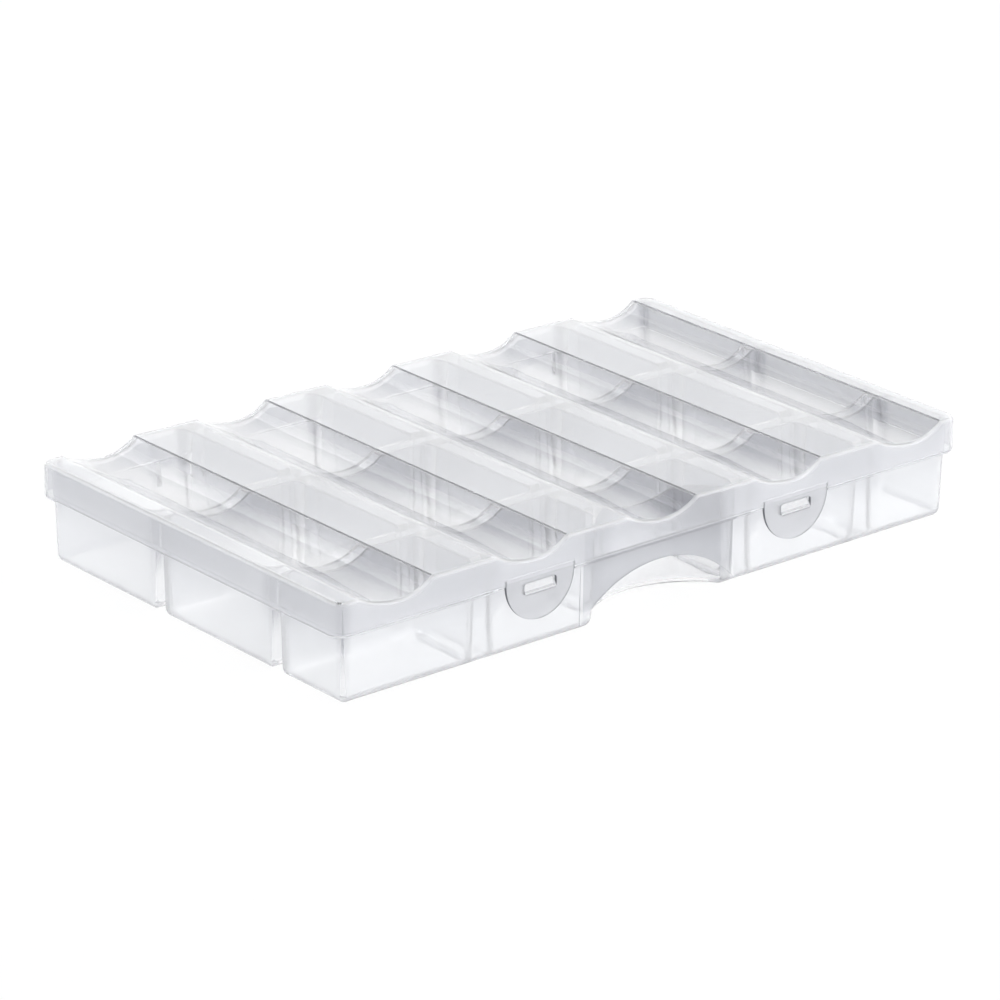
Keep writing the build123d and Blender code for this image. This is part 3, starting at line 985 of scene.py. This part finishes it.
def plastic(name, layers, roughness):
    """Plastic, made once, with the layers that its places and faces give.

    Most of the lamps' light goes straight through it, so that the inside is lit.
    """
    made = bpy.data.materials.get(name)
    if made:
        return made
    material = bpy.data.materials.new(name)
    tree = bare_tree(material)
    place, at, normal, faces = surface_place(tree)
    colour, clear = layered(tree, layers(tree, at, normal, faces))
    bump, rough = fine_waviness(tree, place, roughness)
    body = shader_node(tree, "BsdfPrincipled", {
        "Base Color": colour, "Transmission Weight": clear, "IOR": PLASTIC_IOR,
        "Normal": bump, "Roughness": rough,
    })[0]
    shadow_ray = shader_node(tree, "LightPath")["Is Shadow Ray"]
    straight = shader_node(tree, "BsdfTransparent")[0]
    surface = mixed(tree, both(tree, shadow_ray, SHADOW_CLEARNESS), body, straight)
    shader_node(tree, "OutputMaterial", {"Surface": surface})
    return material


def border(tree, at, half_x, half_y, width):
    """1 within a width of the border of a rectangle about the Z axis, and 0 further inside."""
    past = [
        calculated(tree, "SUBTRACT", calculated(tree, "ABSOLUTE", at[axis]), half - width)
        for axis, half in (("X", half_x), ("Y", half_y))
    ]
    return calculated(tree, "GREATER_THAN", calculated(tree, "MAXIMUM", *past), 0.0)


def lid_layers(tree, at, normal, faces):
    """Clear in the scoops, whiter between them and where they start, milky rim and skirt.

    A thin strip along each crest gets painted shade, dark as the edge of a clear crest looks.
    """
    f = finish()
    s = lid_sizes()
    top = s.plateau
    flat = ramped(tree, at["Z"], top - FLAT_FADE, top)
    start = both(tree, ramped(tree, normal["X"], *FALLING),
                 ramped(tree, at["Z"], top - START_FROM, top - START_TO))
    # Painted shade: a thin dark strip along each crest
    crest = both(tree, ramped(tree, normal["X"], *RISING),
                 ramped(tree, at["Z"], top, top + CREST_SHADE_FADE))
    rim = border(tree, at, s.half_length, s.half_depth, s.rim_radius)
    return [
        (None, f.lid_tint, f.lid_top_clearness),
        (flat, f.flat_tint, f.flat_clearness),
        (start, f.flat_tint, f.flat_clearness),
        # Painted shade along the crests
        (crest, f.corner_and_crest_shade_tint, f.crest_shade_clearness),
        (rim, f.rim_tint, f.rim_clearness),
        (ramped(tree, faces["Z"], *UPRIGHT), f.skirt_tint, f.skirt_clearness),
    ]


def tab_layers(tree, at, _normal, faces):
    """The skirt's own look, darker below it, with painted shade as dark lines on the cut edges
    round tab and window.
    """
    f = finish()
    s = lid_sizes()
    below_hinge = calculated(tree, "LESS_THAN", at["Z"], TAB_BOXES[0][1].z - HINGE_LINE)
    # Painted shade: dark lines on the cut edges of tab and window
    edge = both(tree, below_hinge, ramped(tree, faces["Y"], *EDGE_ON))
    on_skirt = ramped(tree, at["Z"], s.skirt_bottom, s.skirt_bottom + MM)
    return [
        (None, f.tab_tint, f.skirt_clearness),
        (on_skirt, f.skirt_tint, f.skirt_clearness),
        # Painted shade on the cut edges
        (edge, f.edge_shade_tint, f.edge_shade_clearness),
    ]


def base_layers(tree, at, _normal, faces):
    """Clear floors, milky outer walls, painted shade on the rounded feet, and thin lines of
    painted shade round the compartments' mouths.

    Inside, the walls turn milkier and get painted shade that darkens with height, more so in the
    corners. The hand-hold's panel gets grey painted shade that fades downwards.
    """
    f = finish()
    b = base_sizes()
    halves = base_half_sizes()
    skin = border(tree, at, *halves, SKIN)
    inside = calculated(tree, "SUBTRACT", 1.0, skin)
    upright = ramped(tree, faces["Z"], *UPRIGHT)
    # Painted shade: the inner walls grow darker with height
    high = both(tree, ramped(tree, at["Z"], *WALL_SHADE_FADE), inside)
    # Painted shade: darker still in the inner corners near the tops
    corner = both(tree, ramped(tree, faces["X"], *TURNED), ramped(tree, faces["Y"], *TURNED))
    # Painted shade: thin dark lines on the rounded mouths of the compartments
    rounded = both(tree, ramped(tree, faces["Z"], *ROUNDED), ramped(tree, faces["Z"], *NOT_LEVEL))
    mouth = both(tree, rounded, both(tree, ramped(tree, at["Z"], *MOUTH_SHADE_FADE), inside))
    # Painted shade: the rounded foot turns greyer near the floor
    near_side = border(tree, at, *halves, drafted(0) + b.edge_radius)
    low = ramped(tree, at["Z"], FOOT_SHADE_FROM * b.edge_radius, b.edge_radius, 1.0, 0.0)
    foot = both(tree, both(tree, near_side, ramped(tree, faces["Z"], *TURNED_IN)), low)
    # Painted shade: grey over the hand-hold's panel, fading downwards
    across = calculated(tree, "ABSOLUTE", at["X"])
    middle = calculated(tree, "LESS_THAN", across, PANEL_HIGH.x)
    foremost = calculated(tree, "LESS_THAN", at["Y"], PANEL_HIGH.y + PANEL_SHADE_REACH)
    panel = both(tree, both(tree, middle, foremost), ramped(tree, at["Z"], *PANEL_SHADE_FADE))
    # Painted shade: dark line on the arch's cut edge
    arch_edge = both(tree, panel, ramped(tree, faces["Y"], *EDGE_ON))
    return [
        (None, f.floor_tint, f.floor_clearness),
        (upright, f.base_tint, f.wall_clearness),
        (both(tree, skin, upright), f.outer_tint, f.outer_clearness),
        # The layers from here on are painted shade laid over the plastic
        (both(tree, high, upright), f.wall_top_shade_tint, f.wall_top_shade_clearness),
        (both(tree, high, corner), f.corner_and_crest_shade_tint, f.wall_top_shade_clearness),
        (foot, f.foot_shade_tint, f.foot_shade_clearness),
        (mouth, f.mouth_shade_tint, f.mouth_shade_clearness),
        (panel, f.panel_shade_tint, f.panel_shade_clearness),
        (arch_edge, f.edge_shade_tint, f.edge_shade_clearness),
    ]


# Operators


class MakeLidCover(bpy.types.Operator):
    """Make the lid's wavy top and skirt with its hinge hooks."""

    bl_idname = "storage_box.lid_cover"
    bl_label = "Lid cover"

    def execute(self, context):
        openings = [tab_opening(*corners) for corners in TAB_BOXES]
        cover = combined(lid_shell(), "DIFFERENCE", openings)
        cover = combined(cover, "UNION", [hinge_hook(*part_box(name)) for name in HOOKS])
        look = plastic("clear_lid", lid_layers, finish().lid_roughness)
        finish_piece(cover, LID_NODES, "lid", look)
        return {"FINISHED"}


class MakeLatchTabs(bpy.types.Operator):
    """Make the two latch tabs."""

    bl_idname = "storage_box.latch_tabs"
    bl_label = "Latch tabs"

    def execute(self, context):
        for side, corners in zip(SIDES, TAB_BOXES):
            tongue = latch_tab(f"{side}_latch_tab", *corners)
            look = plastic("clear_tab", tab_layers, finish().lid_roughness)
            finish_piece(tongue, [f"{side}_tab"], f"{side}_tab", look)
        return {"FINISHED"}


class MakeBase(bpy.types.Operator):
    """Make the base with its compartments, ledge, hand-hold, catches and hinge lugs."""

    bl_idname = "storage_box.base"
    bl_label = "Base"

    def execute(self, context):
        b = base_sizes()
        places = row_places()
        solids = [trough(row, *place) for row, place in zip(ROW_NAMES, places)]
        for before, after in zip(places, places[1:]):
            solids += row_bridge(before[1] + b.wall, after[0] - b.wall)
        solids += [ledge(), hold_panel()] + [catch(name) for name in CATCHES]
        for name in LUGS:
            solids += hinge_lug(name)
        base = combined(solids[0], "UNION", solids[1:])
        base.name = "base_tray"
        inner = base_half_sizes()[0] - b.wall
        half = b.column_divider / 2
        lefts = np.concatenate([[-inner], divider_places() + half])
        rights = np.concatenate([divider_places() - half, [inner]])
        hollows = []
        for row, (y_low, y_high) in zip(ROW_NAMES, places):
            for x_low, x_high in zip(lefts, rights):
                hollow = compartment(x_low, x_high, y_low, y_high)
                if row == "front" and x_low < b.hold_radius and x_high > -b.hold_radius:
                    hollow = combined(hollow, "DIFFERENCE", [hold_core()])
                hollows.append(hollow)
            hollows += [divider_pocket(x, y_low, y_high) for x in divider_places()]
        base = combined(base, "DIFFERENCE", hollows)
        look = plastic("milky_base", base_layers, finish().base_roughness)
        finish_piece(base, BASE_NODES, "base", look)
        return {"FINISHED"}


class MakeStage(bpy.types.Operator):
    """Make the white floor, the soft lamps and the camera."""

    bl_idname = "storage_box.stage"
    bl_label = "Stage"

    def execute(self, context):
        make_floor()
        make_world()
        make_lamps()
        make_camera()
        context.scene.view_settings.view_transform = "Standard"
        paths = context.scene.cycles
        paths.max_bounces = paths.transmission_bounces = LIGHT_BOUNCES
        paths.transparent_max_bounces = LIGHT_BOUNCES
        paths.glossy_bounces = GLOSSY_BOUNCES
        return {"FINISHED"}


class StorageBoxPanel(bpy.types.Panel):
    """Lists the pieces of the storage box."""

    bl_idname = "VIEW3D_PT_storage_box"
    bl_label = "Storage box"
    bl_space_type = "VIEW_3D"
    bl_region_type = "UI"
    bl_category = "Storage box"

    def draw(self, context):
        for operator in OPERATORS:
            self.layout.operator(operator.bl_idname)


# Stage


def seen_or_lit(tree, seen, lit):
    """Mix of two shaders: the first for rays that show the background, the second for light."""
    ray = shader_node(tree, "LightPath")
    showing = calculated(tree, "MAXIMUM", ray["Is Camera Ray"], ray["Is Glossy Ray"])
    showing = calculated(tree, "MAXIMUM", showing, ray["Is Transmission Ray"])
    return mixed(tree, showing, lit, seen)


def make_floor():
    """Square white floor that keeps a faint shadow."""
    mesh = bpy.data.meshes.new("floor")
    far = FLOOR_REACH
    corners = [(-far, -far, 0), (far, -far, 0), (far, far, 0), (-far, far, 0)]
    mesh.from_pydata(corners, [], [(0, 1, 2, 3)])
    floor = linked("floor", mesh)
    floor.location.z = -FLOOR_DROP
    material = bpy.data.materials.new("floor_white")
    tree = bare_tree(material)
    glow = shader_node(tree, "Emission", {"Strength": 1.0})[0]
    matte = shader_node(tree, "BsdfDiffuse", {"Color": FLOOR_COLOUR})[0]
    surface = seen_or_lit(tree, mixed(tree, FLOOR_GLOW, matte, glow), matte)
    shader_node(tree, "OutputMaterial", {"Surface": surface})
    mesh.materials.append(material)


def make_world():
    """White surroundings that light the box more softly than they show.

    In the plastic they show white up to a low angle and greyer overhead.
    """
    world = bpy.data.worlds.new("studio")
    bpy.context.scene.world = world
    tree = bare_tree(world)
    direction = shader_node(tree, "TexCoord")["Generated"]
    height = shader_node(tree, "SeparateXYZ", {0: direction})["Z"]
    overhead = ramped(tree, height, OVERHEAD_FROM, OVERHEAD_TO, 1.0, OVERHEAD)
    camera_ray = shader_node(tree, "LightPath")["Is Camera Ray"]
    strength = calculated(tree, "MAXIMUM", camera_ray, overhead)
    seen = shader_node(tree, "Background", {"Color": (1, 1, 1, 1), "Strength": strength})[0]
    lit = shader_node(tree, "Background", {"Color": WORLD_COLOUR, "Strength": WORLD_LIGHT})[0]
    shader_node(tree, "OutputWorld", {"Surface": seen_or_lit(tree, seen, lit)})


def make_lamps():
    """A large soft lamp to the right above the front, and a weaker one behind the box."""
    for name, place, power in LAMPS:
        light = bpy.data.lights.new(name, "AREA")
        light.size = LAMP_SIZE
        light.energy = power
        lamp = linked(name, light)
        lamp.location = place
        lamp.visible_glossy = False
        lamp.rotation_euler = (-lamp.location).to_track_quat("-Z", "Y").to_euler()


def make_camera():
    """Camera at the photograph's viewing angle."""
    data = bpy.data.cameras.new("camera")
    data.lens = CAMERA_LENS
    data.sensor_width = CAMERA_SENSOR
    camera = linked("camera", data)
    camera.location = CAMERA_PLACE
    aim = Euler((math.radians(90 - CAMERA_DOWN), 0, -math.radians(CAMERA_ROUND))).to_matrix()
    camera.rotation_euler = (aim @ Euler((0, 0, CAMERA_ROLL)).to_matrix()).to_euler()
    bpy.context.scene.camera = camera


OPERATORS = [MakeLidCover, MakeLatchTabs, MakeBase, MakeStage]
GROUPS = {
    "storage_box_lid": LidSizes, "storage_box_base": BaseSizes, "storage_box_finish": Finish
}


def register():
    """Adds the size groups, operators and panel."""
    for group in GROUPS.values():
        bpy.utils.register_class(group)
    for name, group in GROUPS.items():
        setattr(bpy.types.Scene, name, bpy.props.PointerProperty(type=group))
    for operator in OPERATORS:
        bpy.utils.register_class(operator)
    bpy.utils.register_class(StorageBoxPanel)


def unregister():
    """Takes them away again."""
    bpy.utils.unregister_class(StorageBoxPanel)
    for operator in reversed(OPERATORS):
        bpy.utils.unregister_class(operator)
    for name in GROUPS:
        delattr(bpy.types.Scene, name)
    for group in reversed(list(GROUPS.values())):
        bpy.utils.unregister_class(group)


def main():
    """Makes every piece."""
    register()
    bpy.ops.storage_box.lid_cover()
    bpy.ops.storage_box.latch_tabs()
    bpy.ops.storage_box.base()
    bpy.ops.storage_box.stage()


if __name__ == "__main__":
    main()
